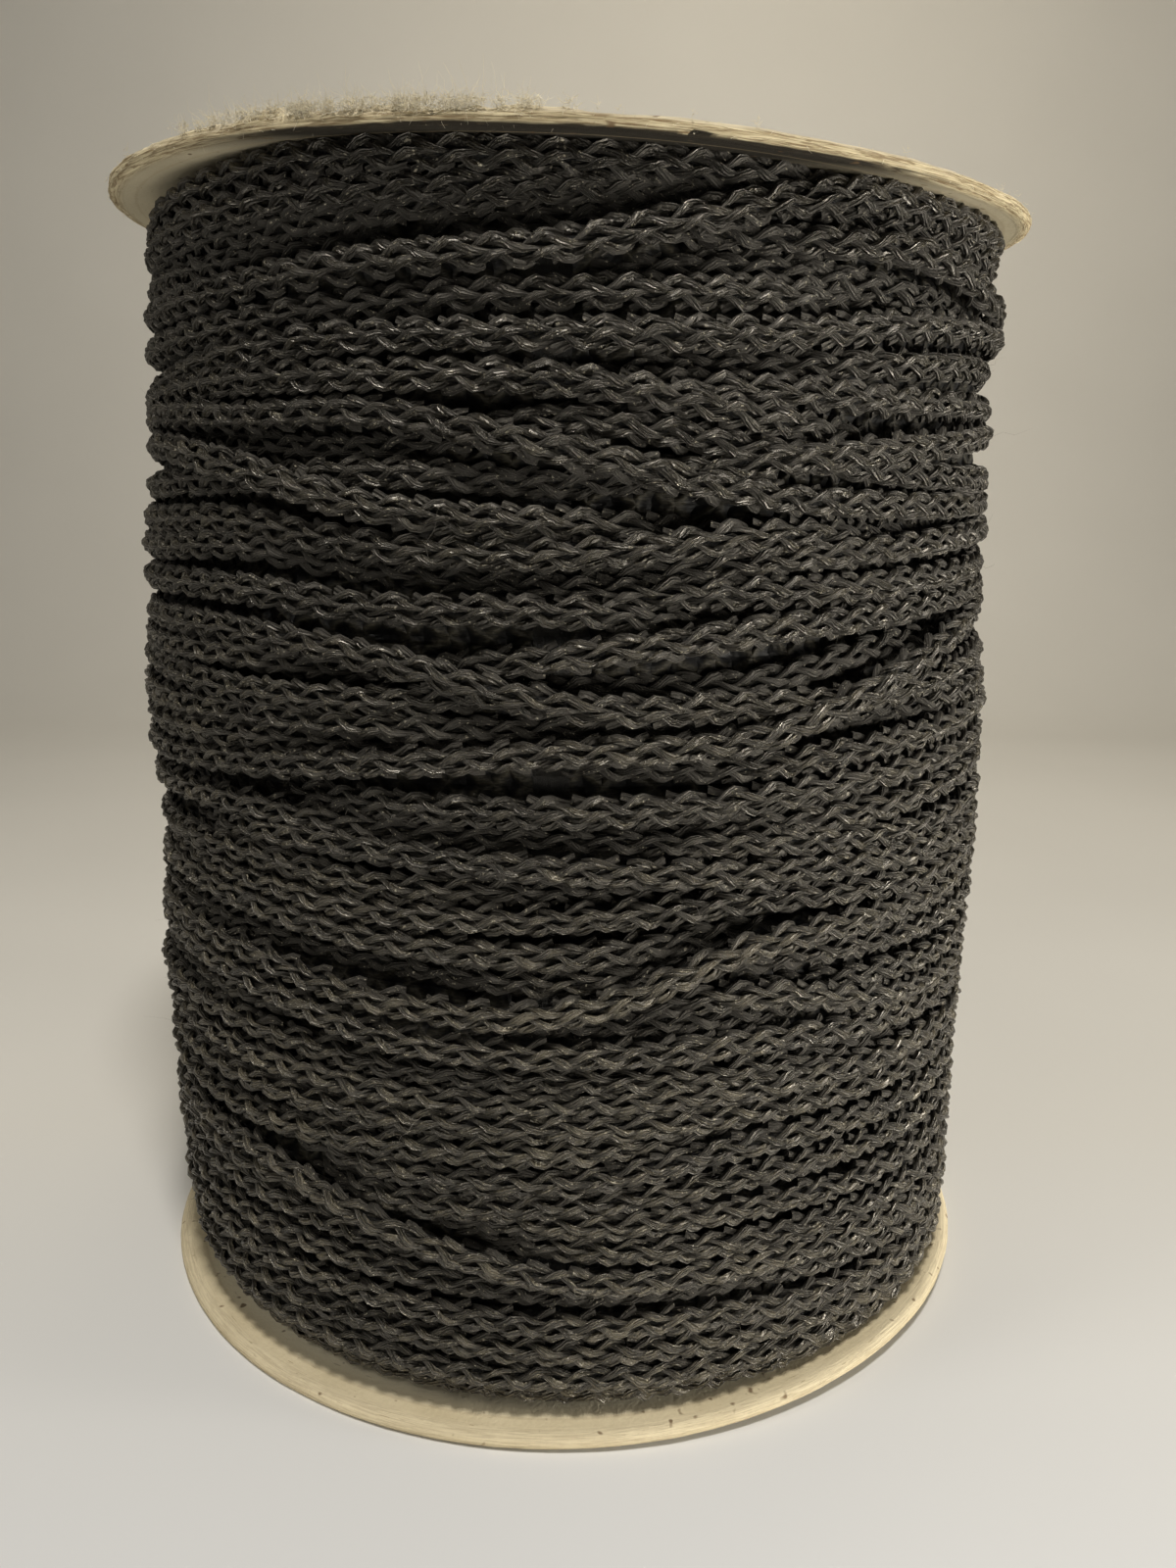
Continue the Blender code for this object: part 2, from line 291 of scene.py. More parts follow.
# Unevenness of the yarns: shares of the width, then millimetres, degrees and slopes
WIDTH_RANDOM = 0.13
WIDTH_BY_WEAVE = 0.16
WIDTH_RIPPLE = 0.08
PLACE_RANDOM = 0.16
ANGLE_RANDOM = 3.5
ANGLE_RIPPLE = 3.0
ROLL_RANDOM = 0.14
ROLL_RIPPLE = 0.14
LIFT_RANDOM = 0.07
LIFT = 0.06

# Contact shade: from this angle round the cord, over this many degrees, this share is lost
SHADE_STARTS = 38.0
SHADE_SPAN = 42.0
SHADE_SHARE = 0.9

# Layer beneath: shares of the cord's depth, then its wave up and down and its room at the boards
UNDER_DEPTH = 0.98
UNDER_RAISED_AT_SIDES = 0.36
UNDER_SWELL = 0.45
UNDER_WAVE = 1.2
UNDER_CLEARANCE = 0.15


def smooth(t):
    t = np.clip(t, 0.0, 1.0)
    return t * t * (3.0 - 2.0 * t)


def eased(t, start, end, slope_in, slope_out):
    """A smooth curve from start to end as t goes from 0 to 1, with these slopes at its two ends."""
    return (
        start * (2 * t**3 - 3 * t**2 + 1) + slope_in * (t**3 - 2 * t**2 + t)
        + end * (3 * t**2 - 2 * t**3) + slope_out * (t**3 - t**2)
    )


def around(values, azimuth):
    """Values given every 45 degrees, joined by a closed smooth curve."""
    values = np.asarray(values)
    step = np.mod(azimuth, 360.0) / 45.0
    index = np.floor(step).astype(int)
    t = step - index
    before, start, end, after = (values[(index + k) % 8] for k in (-1, 0, 1, 2))
    slope_in = 0.5 * (end - before)
    slope_out = 0.5 * (after - start)
    return eased(t, start, end, slope_in, slope_out)


def top_underside(azimuth, radius):
    return TOP_UNDERSIDE + around(TOP_RIM_RISE, azimuth) * (radius / FLANGE_RADIUS)**TOP_BEND_POWER


def bottom_underside(azimuth, radius):
    share = (radius / FLANGE_RADIUS - BOTTOM_FLAT_SHARE) / (1.0 - BOTTOM_FLAT_SHARE)
    return around(BOTTOM_RIM_RISE, azimuth) * smooth(share)


def crest_radius(height, azimuth):
    left = np.interp(height, PROFILE[:, 0], PROFILE[:, 1])
    right = np.interp(height, PROFILE[:, 0], PROFILE[:, 2])
    radius = 0.5 * (left + right) + 0.5 * (right - left) * np.sin(np.radians(azimuth))
    draw = np.clip(1.0 - height / DRAW_IN_HEIGHT, 0.0, 1.0)
    return radius - around(LOW_DRAW_IN, azimuth) * draw**1.5


def curve_through(knots, values, at):
    """A smooth curve through unevenly spaced values."""
    slopes = np.gradient(values, knots)
    index = np.clip(np.searchsorted(knots, at, side="right") - 1, 0, len(knots) - 2)
    width = knots[index + 1] - knots[index]
    t = (at - knots[index]) / width
    after = index + 1
    return eased(t, values[index], values[after], slopes[index] * width, slopes[after] * width)


def round_the_spool(angle, radius, z):
    """Points at an angle from the front towards the right, in radians, at a radius and a height."""
    return np.stack([radius * np.sin(angle), -radius * np.cos(angle), z], -1)


def ring_quads(rows, columns):
    """Faces that join neighbouring closed rings of points."""
    index = np.arange(rows * columns).reshape(rows, columns)
    after = np.roll(index, -1, axis=1)
    return np.stack([index[:-1], after[:-1], after[1:], index[1:]], -1).reshape(-1, 4)


class Turn:
    """One turn of the cord, from azimuth -60 at the front's left, round the back, to the next turn."""

    def __init__(self, name, heights, proud):
        self.name = name
        heights = np.asarray(heights)
        self.heights = heights + (CAMERA_HEIGHT - heights) * READING_DEPTH / (CAMERA_DISTANCE - MEAN_RADIUS)
        self.proud = np.asarray(proud)
        self.phase = RANDOM.uniform(0.0, 1.0)
        self.waves = [(RANDOM.uniform(0.0, 6.28), n, 1.0 / n) for n in (2, 3, 5, 7)]
        self.twist = RANDOM.uniform(-TWIST_RANGE, TWIST_RANGE)
        self.tone = RANDOM.uniform(-1.0, 1.0)
        self.following = self
        self.before = self
        self.back_heights = None
        self.back_proud = None
        self.crosses = False

    def wander(self, azimuth):
        """A slow wave along this turn, about -1 to 1."""
        angle = np.radians(azimuth)
        return sum(size * np.sin(n * angle + start) for start, n, size in self.waves)

    def path(self, azimuth):
        """Height, how far it stands proud, slow wave, twist, phase and tone along this turn."""
        knots = [BACK_AZIMUTHS[1] - 360.0, *TURN_AZIMUTHS, *BACK_AZIMUTHS]
        knots += [a + 360.0 for a in TURN_AZIMUTHS[:3]]

        def values(front, back):
            own = [getattr(self.before, back)[1], *getattr(self, front), *getattr(self, back)]
            return np.array([*own, *getattr(self.following, front)[:3]])

        knots = np.array(knots)
        share = smooth((azimuth - FRONT_END) / (TURN_END - FRONT_END))
        height = curve_through(knots, values("heights", "back_heights"), azimuth)
        proud = curve_through(knots, values("proud", "back_proud"), azimuth)
        wave = (1.0 - share) * self.wander(azimuth) + share * self.following.wander(azimuth - 360.0)
        twist = (1.0 - share) * self.twist + share * self.following.twist
        phase = (1.0 - share) * self.phase + share * self.following.phase
        tone = (1.0 - share) * self.tone + share * self.following.tone
        return height, proud, wave, twist + TWIST_WAVE * wave, phase, tone


def link_turns():
    """Joins each turn's right end to the start of the turn above it, round the back."""
    turns = [Turn(*values) for values in TURNS]
    at_right = sorted(turns, key=lambda turn: turn.heights[-1])
    at_left = sorted(turns, key=lambda turn: turn.heights[0])
    order = list(at_right)
    for rank, climb in BACK_CROSSINGS:
        turn = order.pop(rank)
        order.insert(rank + climb, turn)
        turn.crosses = True
    for turn, follower in zip(order[:-1], at_left[1:]):
        turn.following = follower
        follower.before = turn

    def even_heights(sequence):
        shows = np.array([turn.proud[-1] > SUNK for turn in sequence])
        count = shows.sum()
        rank = np.cumsum(shows) - 0.5
        pitch = (BACK_HIGHEST - BACK_LOWEST) / (count - 1)
        return dict(zip([turn.name for turn in sequence], BACK_LOWEST + (rank - 0.5) * pitch))

    first, second = even_heights(at_right), even_heights(order)
    for turn in turns:
        turn.back_heights = (first[turn.name], second[turn.name])
        shows = turn.proud[-1] > SUNK
        level = 0.0 if shows else BACK_SUNK_DEPTH
        over = BACK_PROUD if shows and turn.crosses else 0.0
        turn.back_proud = (level + over, level + over)
    return turns


def sample_path(turn):
    """The turn's centre line on a fine list of azimuths, pushed clear of both boards."""
    azimuth = np.arange(-75.0, 348.0, 1.0)
    height, proud, wave, twist, phase, tone = turn.path(azimuth)
    height = height + HEIGHT_WAVE * wave
    proud = proud + DEPTH_WAVE * np.roll(wave, 17)
    radius = crest_radius(height, azimuth) - 0.5 * CORD_DEPTH + proud
    half = 0.5 * CORD_WIDTH - BOARD_SQUEEZE
    low = bottom_underside(azimuth, radius) + BOTTOM_BOARD + half
    high = top_underside(azimuth, radius) - half
    height = np.clip(height, low, high)
    slope = np.gradient(height, np.radians(azimuth) * radius)
    return {
        "azimuth": azimuth, "height": height, "radius": radius, "slope": np.arctan(slope),
        "twist": twist, "phase": phase, "tone": tone, "proud": proud,
    }


def place(path, azimuth, around_cord, offset):
    """World points on the cord's surface: around_cord is 0 outward and 90 up, in degrees."""
    grid = path["azimuth"]
    height = np.interp(azimuth, grid, path["height"])
    radius = np.interp(azimuth, grid, path["radius"])
    slope = np.interp(azimuth, grid, path["slope"])
    angle = np.radians(around_cord)
    outward = (0.5 * CORD_DEPTH + offset) * np.cos(angle)
    upward = (0.5 * CORD_WIDTH + offset) * np.sin(angle)
    distance = radius + outward
    turn_angle = np.radians(azimuth) - np.sin(slope) * upward / distance
    z = height + np.cos(slope) * upward
    return round_the_spool(turn_angle, distance, z) * MM


def yarns_of(path, rises):
    """All the yarns of one hand on one turn: points, faces, UV in millimetres, tone, and a share of painted
    light and shade.
    """
    period = 360.0 / YARN_PERIODS_A_TURN
    starts = TURN_START + np.arange(-8, YARN_PERIODS_A_TURN + 8) * period
    starts = starts + np.interp(starts, path["azimuth"], path["phase"]) * period
    hand = 1.0 if rises else -1.0
    twist = np.interp(starts, path["azimuth"], path["twist"])
    middle = starts - hand * np.degrees(twist / 360.0 * BRAID_TURN / MEAN_RADIUS)
    proud = np.interp(middle, path["azimuth"], path["proud"])
    keep = (middle >= TURN_START) & (middle < TURN_END) & (proud > TOO_DEEP_TO_SHOW)
    starts, twist = starts[keep], twist[keep]
    pieces = len(starts)
    if not pieces:
        return None
    spread = RANDOM.normal(0.0, 1.0, (6, pieces, 1, 1))
    shown = np.linspace(-BRAID_SPAN, BRAID_SPAN, YARN_SAMPLES)[:: 1 if rises else -1]
    even = shown[None, :, None] - twist[:, None, None]
    along = hand * even / 360.0 * BRAID_TURN
    weave = hand * np.cos(np.radians(COLUMNS * even))
    ripple = np.sin(np.radians(2.3 * even) + 9.0 * spread[0])
    mean = 0.25 * (CORD_DEPTH + CORD_WIDTH)
    lean = math.atan(2.0 * math.pi * mean / BRAID_TURN)
    width = WIDTH_RANDOM * spread[1] + WIDTH_BY_WEAVE * weave + WIDTH_RIPPLE * ripple
    width = YARN_WIDTH * (1.0 + width)
    side = 0.5 * width * YARN_SECTION[:, 0]
    crown = YARN_CROWN * YARN_SECTION[:, 1]
    arc = along - side * math.sin(lean) * hand + PLACE_RANDOM * spread[2]
    azimuth = starts[:, None, None] + np.degrees(arc / MEAN_RADIUS)
    bend = hand * YARN_BEND * math.degrees(1.0 / COLUMNS) * weave
    angle = shown[None, :, None] + bend + np.degrees(side * math.cos(lean) / mean)
    angle = angle + ANGLE_RANDOM * spread[3] + ANGLE_RIPPLE * ripple
    roll = ROLL_RANDOM * spread[4] + ROLL_RIPPLE * ripple
    offset = YARN_WEAVE * (weave - 1.0) + crown + roll * side + LIFT_RANDOM * spread[5] + LIFT
    points = place(path, azimuth, angle, offset)
    rows, columns = points.shape[1], points.shape[2]
    index = np.arange(pieces * rows * columns).reshape(points.shape[:3])
    a, b = index[:, :-1, :-1], index[:, :-1, 1:]
    c, d = index[:, 1:, 1:], index[:, 1:, :-1]
    quads = np.stack([a, d, c, b], -1).reshape(-1, 4)
    run = np.abs(along - along[:, :1]) / math.cos(lean) + RANDOM.uniform(0.0, 500.0, (pieces, 1, 1))
    uv = np.stack([np.broadcast_to(side, angle.shape), np.broadcast_to(run, angle.shape)], -1)
    turn_tone = np.interp(azimuth, path["azimuth"], path["tone"])
    tone = RANDOM.normal(0.0, 1.0, (pieces, 1, 1)) + 0.6 * turn_tone
    depth = np.interp(azimuth, path["azimuth"], path["proud"])
    # Painted shade: yarns on sunk turns are darker and on proud turns paler, and each yarn darkens where it
    # dives under others and where it meets the neighbouring turns.
    depth_shade = 0.12 + 0.70 * smooth((depth + 2.2) / 2.2) + 0.3 * smooth(depth / 1.2)
    shaded = SHADE_SHARE * smooth((np.abs(angle) - SHADE_STARTS) / SHADE_SPAN)
    crest = (0.5 + 0.5 * weave) * (1.0 - shaded) * depth_shade
    return points.reshape(-1, 3), quads, uv.reshape(-1, 2), tone.reshape(-1), crest.reshape(-1)


def core_of(path):
    """The core yarns of one turn, seen between the braided ones."""
    azimuth = np.arange(-60.0, 300.1, 4.0)[:, None]
    around_cord = np.linspace(-110.0, 110.0, 7)[None, :]
    azimuth, around_cord = np.broadcast_arrays(azimuth, around_cord)
    points = place(path, azimuth, around_cord, -CORE_DEPTH)
    rows, columns = points.shape[:2]
    index = np.arange(rows * columns).reshape(rows, columns)
    quads = np.stack([index[:-1, :-1], index[1:, :-1], index[1:, 1:], index[:-1, 1:]], -1)
    across = np.radians(around_cord) * (0.25 * (CORD_DEPTH + CORD_WIDTH) - CORE_DEPTH)
    run = np.radians(azimuth) * MEAN_RADIUS + 37.0 * path["phase"][0]
    uv = np.stack([across, run], -1)
    return points.reshape(-1, 3), quads.reshape(-1, 4), uv.reshape(-1, 2)


def mesh_piece(name, points, quads, material, uv=None, **tones):
    """A smooth quad mesh from arrays. Each further array is a number that its material reads."""
    data = bpy.data.meshes.new(name)
    data.vertices.add(len(points))
    data.vertices.foreach_set("co", np.asarray(points, np.float32).ravel())
    data.loops.add(quads.size)
    data.loops.foreach_set("vertex_index", quads.astype(np.int32).ravel())
    data.polygons.add(len(quads))
    data.polygons.foreach_set("loop_start", np.arange(0, quads.size, 4, dtype=np.int32))
    data.polygons.foreach_set("use_smooth", np.ones(len(quads), bool))
    if uv is not None:
        layer = data.uv_layers.new(name="run")
        corners = uv if len(uv) == quads.size else uv[quads.ravel()]
        layer.data.foreach_set("uv", np.asarray(corners, np.float32).ravel())
    for key, values in tones.items():
        attribute = data.attributes.new(key, "FLOAT", "POINT")
        attribute.data.foreach_set("value", np.asarray(values, np.float32))
    data.update()
    data.validate()
    data.materials.append(material)
    piece = bpy.data.objects.new(name, data)
    bpy.context.scene.collection.objects.link(piece)
    return piece


def join_arrays(parts):
    """Several (points, quads, ...) as one, with the face numbers moved on."""
    offset = 0
    quads = []
    for part in parts:
        quads.append(part[1] + offset)
        offset += len(part[0])
    others = [np.concatenate([part[k] for part in parts]) for k in range(2, len(parts[0]))]
    return (np.concatenate([part[0] for part in parts]), np.concatenate(quads), *others)


class Nodes:
    """Short calls for building a material's node tree."""

    def __init__(self, name):
        self.material = bpy.data.materials.new(name)
        self.material.use_nodes = True
        self.tree = self.material.node_tree
        self.shader = self.tree.nodes["Principled BSDF"]

    def add(self, kind, inputs=None, **settings):
        node = self.tree.nodes.new(kind)
        for key, value in settings.items():
            setattr(node, key, value)
        for key, value in (inputs or {}).items():
            if isinstance(value, bpy.types.NodeSocket):
                self.tree.links.new(value, node.inputs[key])
            else:
                node.inputs[key].default_value = value
        return node

    def math(self, operation, first, second=0.0, clamp=False):
        node = self.add("ShaderNodeMath", {0: first, 1: second}, operation=operation, use_clamp=clamp)
        return node.outputs[0]

    def ramp(self, value, low, high, out_low=0.0, out_high=1.0):
        names = {"Value": value, "From Min": low, "From Max": high, "To Min": out_low, "To Max": out_high}
        return self.add("ShaderNodeMapRange", names).outputs[0]

    def noise(self, vector, scale, detail=2.0, rough=0.5):
        names = {"Vector": vector, "Scale": scale, "Detail": detail, "Roughness": rough}
        return self.add("ShaderNodeTexNoise", names).outputs[0]

    def scaled(self, vector, x, y, z):
        names = {0: vector, 1: (x, y, z)}
        return self.add("ShaderNodeVectorMath", names, operation="MULTIPLY").outputs[0]

    def mix(self, share, first, second):
        node = self.add("ShaderNodeMix", {"Factor": share}, data_type="RGBA")
        for socket, value in ((node.inputs[6], first), (node.inputs[7], second)):
            if isinstance(value, bpy.types.NodeSocket):
                self.tree.links.new(value, socket)
            else:
                socket.default_value = (*value, 1.0)
        return node.outputs[2]

    def finish(self, colour, roughness, height, strength, distance):
        bump = self.add("ShaderNodeBump", {"Strength": strength, "Distance": distance, "Height": height})
        self.tree.links.new(bump.outputs[0], self.shader.inputs["Normal"])
        self.tree.links.new(colour, self.shader.inputs["Base Color"])
        self.tree.links.new(roughness, self.shader.inputs["Roughness"])
        return self.material


def yarn_material():
    """Charcoal filament yarn: plies and fine filaments along it, pale specks of worn fibres and painted
    glints, painted shade where yarns dive and turns touch, and painted light low down.
    """
    n = Nodes("charcoal_yarn")
    uv = n.add("ShaderNodeUVMap", uv_map="run").outputs[0]
    in_room = n.add("ShaderNodeTexCoord").outputs["Object"]
    tone = n.add("ShaderNodeAttribute", attribute_name="tone").outputs["Fac"]
    crest = n.add("ShaderNodeAttribute", attribute_name="crest").outputs["Fac"]
    across = n.add("ShaderNodeSeparateXYZ", {0: uv}).outputs[0]
    stray = n.noise(n.scaled(uv, 0.7, 0.35, 1.0), 1.0, 2.0, 0.5)
    plies = n.math("SINE", n.math("ADD", n.math("MULTIPLY", across, 17.0), n.math("MULTIPLY", stray, 16.0)))
    filaments = n.noise(n.scaled(uv, 4.4, 0.40, 1.0), 1.0, 3.0, 0.65)
    fuzz = n.noise(in_room, 4200.0, 2.0, 0.7)
    specks = n.noise(in_room, 2300.0, 1.0, 0.5)
    clouds = n.noise(in_room, 26.0, 3.0, 0.5)
    dark = (0.0040, 0.0034, 0.0022)
    pale = (0.122, 0.107, 0.074)
    worn = (0.58, 0.53, 0.40)
    share = n.math("ADD", n.ramp(filaments, 0.44, 0.60, 0.0, 0.6), n.ramp(plies, -0.4, 1.0, 0.0, 0.3))
    share = n.math("ADD", share, n.ramp(fuzz, 0.35, 0.75, -0.25, 0.3))
    share = n.math("ADD", share, n.math("MULTIPLY", tone, 0.18), clamp=True)
    share = n.math("MULTIPLY", share, n.ramp(clouds, 0.35, 0.65, 0.65, 1.0))
    # Painted shade: darker where yarns dive, where turns touch and on sunk turns; paler on proud turns.
    share = n.math("MULTIPLY", share, n.ramp(crest, 0.12, 0.95, 0.03, 1.1))
    # Painted light and shade: the yarn is paler low down and darker high up.
    height_for_painted_light = n.add("ShaderNodeSeparateXYZ", {0: in_room}).outputs[2]
    share = n.math("MULTIPLY", share, n.ramp(height_for_painted_light, 0.02, 0.16, 1.95, 0.36))
    body = n.mix(share, dark, pale)
    # Pale specks: partly worn fibres, partly painted glints.
    worn_specks_and_glints = n.math("MULTIPLY", n.ramp(specks, 0.62, 0.70), n.ramp(filaments, 0.48, 0.6))
    colour = n.mix(n.math("MULTIPLY", worn_specks_and_glints, 0.7), body, worn)
    height = n.math("ADD", filaments, n.math("MULTIPLY", plies, 0.3))
    height = n.math("ADD", height, n.math("MULTIPLY", fuzz, 0.4))
    tangent = n.add("ShaderNodeTangent", direction_type="UV_MAP", uv_map="run").outputs[0]
    n.tree.links.new(tangent, n.shader.inputs["Tangent"])
    n.shader.inputs["Anisotropic"].default_value = 0.4
    n.shader.inputs["IOR"].default_value = 1.58
    n.shader.inputs["Specular Tint"].default_value = (1.0, 0.94, 0.84, 1.0)
    n.shader.inputs["Specular IOR Level"].default_value = 0.85
    roughness = n.math("SUBTRACT", n.ramp(filaments, 0.3, 0.7, 0.42, 0.20), n.math("MULTIPLY", worn_specks_and_glints, 0.12))
    roughness = n.math("MAXIMUM", roughness, n.ramp(crest, 0.1, 0.6, 0.85, 0.2))
    return n.finish(colour, roughness, height, 1.0, 0.00045)


def core_material():
    """Core yarns, seen in the braid's openings: dark, with short paler lengths of yarn."""
    n = Nodes("core_yarn")
    uv = n.add("ShaderNodeUVMap", uv_map="run").outputs[0]
    runs = n.noise(n.scaled(uv, 2.0, 0.75, 1.0), 1.0, 2.0, 0.6)
    colour = n.mix(n.ramp(runs, 0.48, 0.66), (0.0015, 0.0013, 0.001), (0.034, 0.030, 0.020))
    n.shader.inputs["Specular IOR Level"].default_value = 0.3
    return n.finish(colour, n.ramp(runs, 0.3, 0.7, 0.8, 0.55), runs, 1.0, 0.0012)


def under_material():
    """The layer beneath: nearly black as painted shade, with a faint braid along each turn."""
    n = Nodes("shaded_yarn")
    uv = n.add("ShaderNodeUVMap", uv_map="run").outputs[0]
    parts = n.add("ShaderNodeSeparateXYZ", {0: uv}).outputs
    wander = n.noise(n.scaled(uv, 0.25, 0.25, 1.0), 1.0, 2.0, 0.5)
    along = n.math("ADD", n.math("MULTIPLY", parts[1], 1.03), n.math("MULTIPLY", wander, 5.0))
    up = n.math("MULTIPLY", parts[0], 2.0 * math.pi * UNDER_TURNS / UNDER_HEIGHT)
    rising = n.math("SINE", n.math("ADD", along, up))
    falling = n.math("SINE", n.math("SUBTRACT", along, up))
    floats = n.math("MAXIMUM", rising, falling)
    runs = n.noise(n.scaled(uv, 3.0, 0.8, 1.0), 1.0, 2.0, 0.6)
    share = n.math("MULTIPLY", n.ramp(floats, 0.0, 1.0), n.ramp(runs, 0.4, 0.65, 0.3, 1.0))
    # Painted shade: far darker than the cord's own colour.
    colour = n.mix(share, (0.0008, 0.0007, 0.0005), (0.05, 0.044, 0.029))
    n.shader.inputs["Specular IOR Level"].default_value = 0.3
    height = n.math("ADD", floats, n.math("MULTIPLY", runs, 0.3))
    return n.finish(colour, n.ramp(runs, 0.3, 0.7, 0.8, 0.5), height, 1.0, 0.0009)


def board_material():
    """Uncoated pulp board: flecked cream faces with scratches, and a rim of thin torn layers, with painted
    shade on its undersides, a painted highlight on its rim and painted light by the cord.
    """
    n = Nodes("pressed_board")
    where = n.add("ShaderNodeTexCoord").outputs["Object"]
    uv = n.add("ShaderNodeUVMap", uv_map="run").outputs[0]
    inward = n.math("ABSOLUTE", n.add("ShaderNodeSeparateXYZ", {0: uv}).outputs[1])
    wear = n.add("ShaderNodeAttribute", attribute_name="tone").outputs["Fac"]
    mottle = n.noise(where, 60.0, 4.0, 0.6)
    fibre = n.noise(where, 1500.0, 3.0, 0.65)
    layers = n.noise(n.scaled(uv, 0.12, 2.6, 1.0), 1.0, 4.0, 0.65)
    seams = n.noise(n.scaled(uv, 0.07, 1.5, 1.0), 1.0, 3.0, 0.6)
    flecks = n.noise(where, 480.0, 1.0, 0.5)
    scratches = n.noise(n.scaled(uv, 0.30, 2.6, 1.0), 1.0, 2.0, 0.5)
    normal = n.add("ShaderNodeNewGeometry").outputs["Normal"]
    facing = n.add("ShaderNodeSeparateXYZ", {0: normal}).outputs[2]
    body = n.mix(n.ramp(mottle, 0.32, 0.68), (0.62, 0.53, 0.345), (0.74, 0.645, 0.44))
    # Painted shade: faces that look downward are made darker.
    body = n.mix(n.ramp(facing, -0.9, -0.3, 0.45, 0.0), body, (0.40, 0.365, 0.275))
    body = n.mix(n.ramp(fibre, 0.4, 0.8, 0.0, 0.25), body, (0.46, 0.38, 0.24))
    torn = n.mix(n.ramp(layers, 0.38, 0.58), (0.40, 0.31, 0.175), (0.76, 0.66, 0.43))
    body = n.mix(n.math("MULTIPLY", wear, 0.9), body, torn)
    off_seam = n.math("ABSOLUTE", n.math("SUBTRACT", seams, 0.5))
    seam = n.math("MULTIPLY", n.ramp(off_seam, 0.015, 0.04, 1.0, 0.0), wear)
    body = n.mix(n.math("MULTIPLY", seam, 0.75), body, (0.20, 0.13, 0.06))
    # Painted highlight: the worn rim's upward-facing parts are made paler, as light from above falls on
    # them.
    edge = n.math("MULTIPLY", n.ramp(facing, 0.2, 0.8), wear)
    body = n.mix(n.math("MULTIPLY", edge, 0.6), body, (0.86, 0.77, 0.57))
    parts = n.add("ShaderNodeSeparateXYZ", {0: where}).outputs
    # Painted shade: the top board's underside near the front is made nearly black.
    at_front = n.ramp(parts[1], -0.066, -0.054, 0.97, 0.0)
    shaded_underside_front = n.math("MULTIPLY", n.ramp(facing, -0.9, -0.6, 1.0, 0.0), at_front)
    shaded_underside_front = n.math("MULTIPLY", shaded_underside_front, n.ramp(parts[2], 0.1, 0.12))
    body = n.mix(shaded_underside_front, body, (0.016, 0.013, 0.009))
    # Painted light: the bottom board's upper face near the cord is made paler, against the cord's shadow on
    # it.
    lightened_near_cord = n.math("MULTIPLY", n.ramp(inward, 5.0, 8.5), n.ramp(facing, 0.5, 0.9))
    lightened_near_cord = n.math("MULTIPLY", lightened_near_cord, n.ramp(parts[2], 0.05, 0.10, 1.0, 0.0))
    body = n.mix(n.math("MULTIPLY", lightened_near_cord, 0.85), body, (0.95, 0.87, 0.66))
    pressed = n.ramp(n.math("ABSOLUTE", n.math("SUBTRACT", inward, 5.4)), 0.1, 0.35, 0.3, 0.0)
    body = n.mix(pressed, body, (0.42, 0.33, 0.20))
    body = n.mix(n.ramp(scratches, 0.69, 0.73, 0.0, 0.6), body, (0.30, 0.22, 0.12))
    colour = n.mix(n.ramp(flecks, 0.70, 0.76, 0.0, 0.85), body, (0.16, 0.10, 0.05))
    n.shader.inputs["Specular IOR Level"].default_value = 0.25
    height = n.math("ADD", n.math("MULTIPLY", fibre, 0.6), n.math("MULTIPLY", mottle, 1.5))
    ridges = n.math("SUBTRACT", n.math("MULTIPLY", layers, 2.0), n.math("MULTIPLY", seam, 0.8))
    height = n.math("ADD", height, n.math("MULTIPLY", ridges, wear))
    return n.finish(colour, n.ramp(fibre, 0.3, 0.7, 0.8, 0.92), height, 0.6, 0.0003)


def add_cord():
    paths = [sample_path(turn) for turn in link_turns()]
    yarn = yarn_material()
    size = math.ceil(len(paths) / CORD_PIECES)
    for group in range(CORD_PIECES):
        members = paths[group * size:(group + 1) * size]
        parts = [yarns_of(path, rises) for path in members for rises in (True, False)]
        points, quads, uv, tone, crest = join_arrays([part for part in parts if part is not None])
        piece = mesh_piece(f"braided_cord_{group + 1}", points, quads, yarn, uv, tone=tone, crest=crest)
        dress(piece, "winding")
    points, quads, uv = join_arrays([core_of(path) for path in paths])
    dress(mesh_piece("cord_core", points, quads, core_material(), uv), "winding")
    add_under_layer(under_material())
    add_cord_fuzz(paths)


def add_under_layer(material):
    """The layer of cord beneath, which the gaps between turns look down on."""
    azimuth = np.arange(0.0, 360.0, 4.0)
    steps = 5
    pitch = UNDER_HEIGHT / UNDER_TURNS
    across = (np.arange(steps) + 0.5) / steps * 2.0 - 1.0
    angle = np.radians(azimuth)
    side = smooth((np.abs(np.sin(angle)) - 0.86) / 0.07)
    rings = []
    for turn in range(UNDER_TURNS):
        for share in across:
            height = (turn + 0.5 + 0.5 * share) * pitch
            height = height + UNDER_WAVE * np.sin(np.radians(azimuth + 57.0 * turn))
            swell = UNDER_SWELL * CORD_DEPTH * (math.sqrt(1.0 - share * share) - 1.0)
            depth = (UNDER_DEPTH - UNDER_RAISED_AT_SIDES * side) * CORD_DEPTH
            radius = crest_radius(height, azimuth) - depth + swell
            low = bottom_underside(azimuth, radius) + BOTTOM_BOARD + UNDER_CLEARANCE
            high = top_underside(azimuth, radius) - UNDER_CLEARANCE
            z = np.clip(height, low, high)
            rings.append(round_the_spool(angle, radius, z))
    points = np.array(rings)
    quads = ring_quads(*points.shape[:2])
    along = np.broadcast_to(angle * MEAN_RADIUS, points.shape[:2])
    uv = np.stack([points[..., 2], along], -1)
    piece = mesh_piece("under_layer", points.reshape(-1, 3) * MM, quads, material, uv.reshape(-1, 2))
    dress(piece, "winding")


def dress(piece, node):
    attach(piece, "root")
    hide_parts(node)


